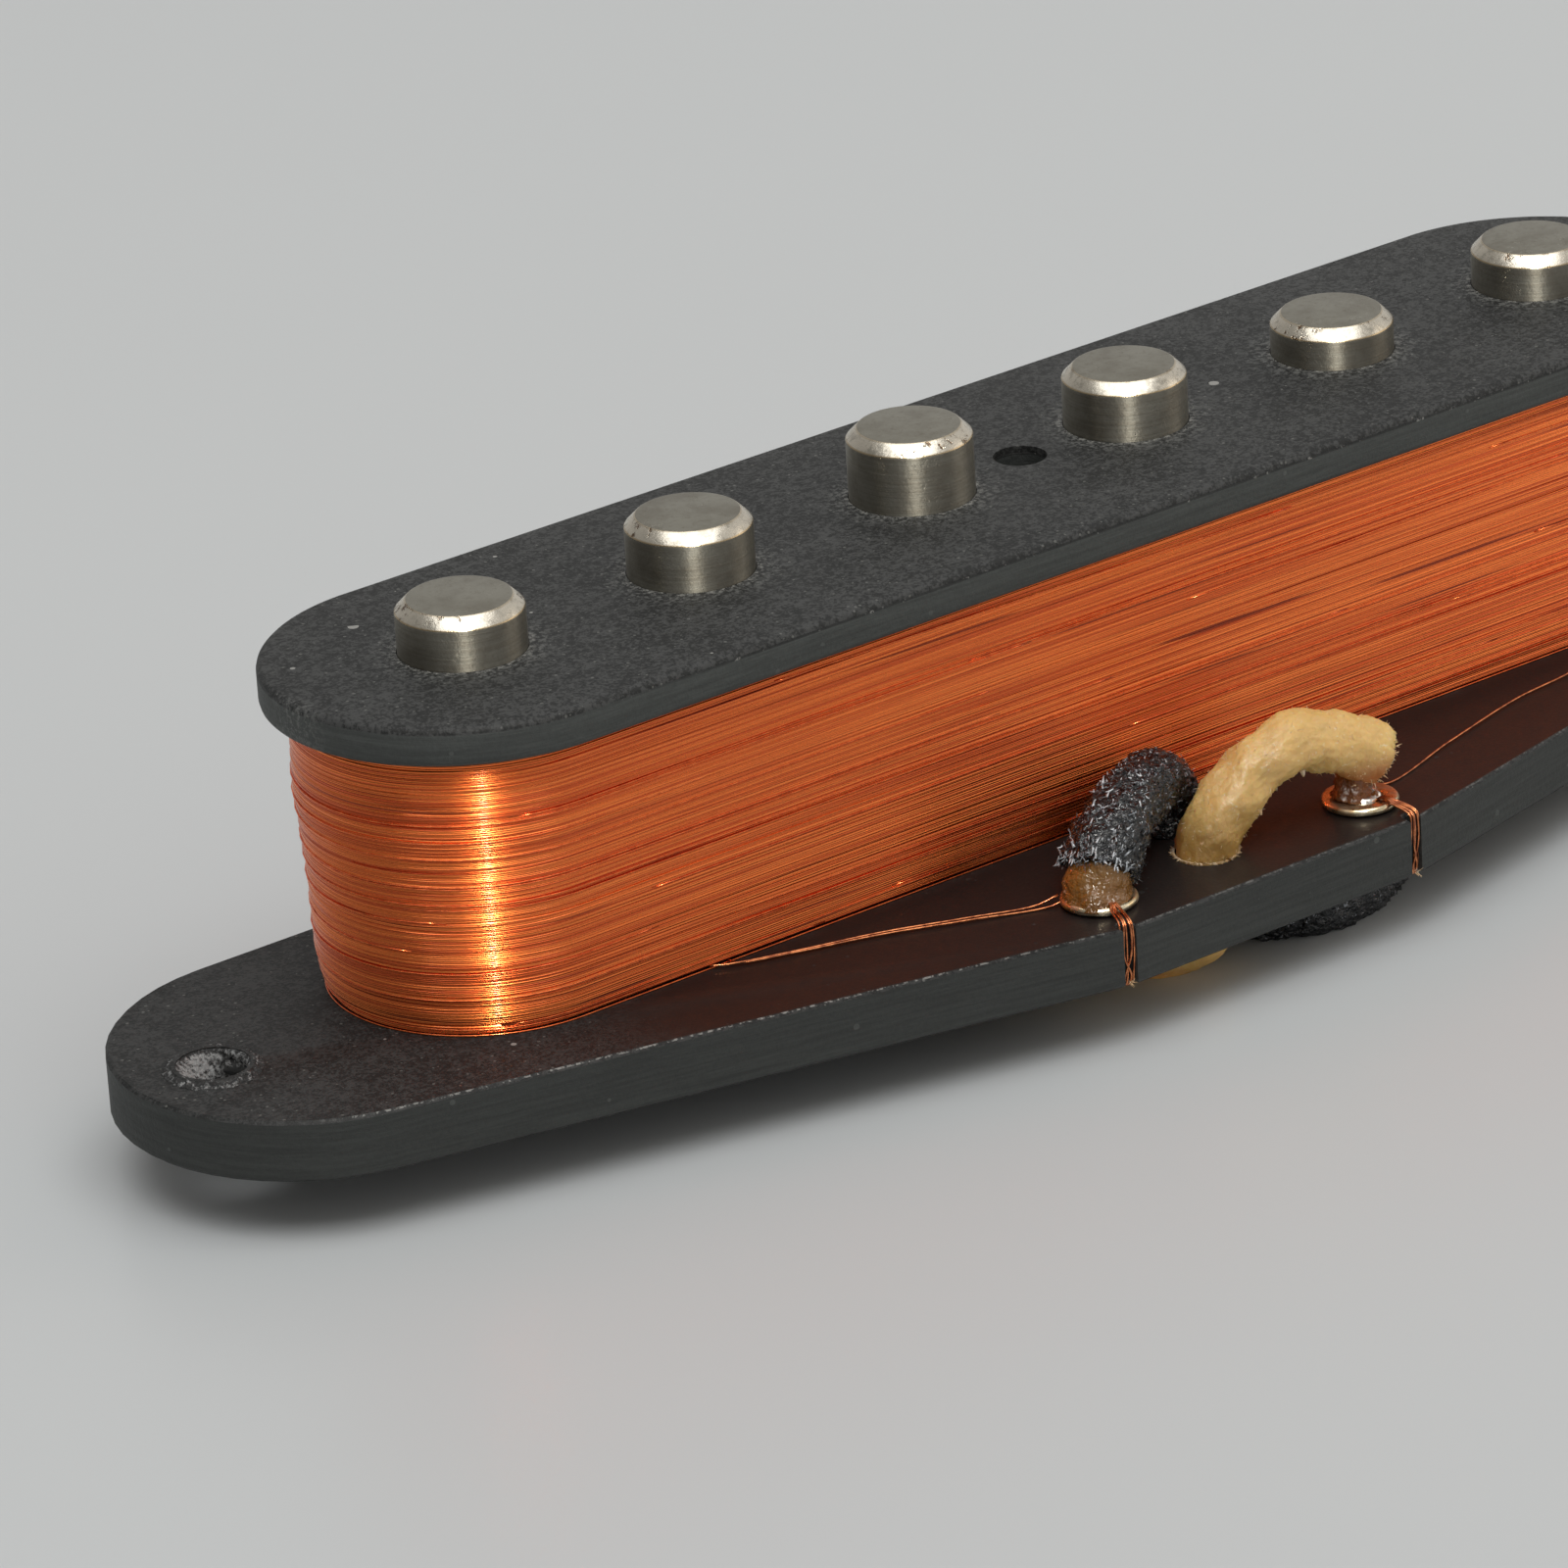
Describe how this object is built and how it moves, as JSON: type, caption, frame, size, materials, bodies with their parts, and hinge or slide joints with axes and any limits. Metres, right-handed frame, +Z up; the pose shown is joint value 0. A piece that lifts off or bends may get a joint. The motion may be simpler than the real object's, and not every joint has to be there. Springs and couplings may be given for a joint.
{
  "type": "guitar pickup",
  "caption": "Bare single-coil guitar pickup: rod magnets held in fibre plates and wound with fine copper wire, with eyelets and cloth-covered leads.",
  "frame": {"origin": "on the surface that the pickup lies on, under the middle of the plates' outline", "axes": "+X along the row of rod magnets towards the end where the leads go, +Y away from the eyelets, +Z up through the rods' bevelled ends"},
  "size_m": [0.1251, 0.0317, 0.0202],
  "materials": {
    "fibre": "charcoal vulcanised fibre, satin, dusty along its edges",
    "magnet": "ground magnet steel, fine lengthwise scratches, slightly tarnished",
    "copper_coil": "orange-brown enamelled copper wire, glossy in bands across the turns",
    "copper_wire": "fine enamelled copper wire",
    "eyelet_brass": "pale plated brass, a little dull",
    "solder": "solder under amber flux",
    "black_cloth": "black waxed cotton braid",
    "cream_cloth": "cream waxed cotton braid, fuzzy",
    "amber_wrap": "amber waxed cotton under the braid",
    "cotton_wrap": "pale cotton under the braid",
    "tinned_wire": "tinned copper strands",
    "tie_strap": "narrow black hook-and-loop strap"
  },
  "bodies": {
    "root": {"bottom_flatwork": "fibre", "top_flatwork": "fibre", "pole_magnet_1": "magnet", "pole_magnet_2": "magnet", "pole_magnet_3": "magnet", "pole_magnet_4": "magnet", "pole_magnet_5": "magnet", "pole_magnet_6": "magnet", "coil_core": "copper_coil", "coil_outer_turns": "copper_coil", "eyelet_left": "eyelet_brass", "eyelet_right": "eyelet_brass", "solder_left": "solder", "solder_right": "solder", "start_wire": "copper_wire", "finish_wire": "copper_wire", "start_wire_wrap": "copper_wire", "finish_wire_wrap": "copper_wire", "black_lead": "black_cloth", "cream_lead": "cream_cloth", "black_lead_inner_wrap": "amber_wrap", "cream_lead_inner_wrap": "cotton_wrap", "black_lead_conductor": "tinned_wire", "cream_lead_conductor": "tinned_wire", "black_lead_run": "black_cloth", "cream_lead_run": "cream_cloth", "black_lead_coil": "black_cloth", "cream_lead_coil": "cream_cloth", "lead_tie": "tie_strap", "black_lead_tip": "tinned_wire", "cream_lead_tip": "tinned_wire"}
  },
  "joints": []
}
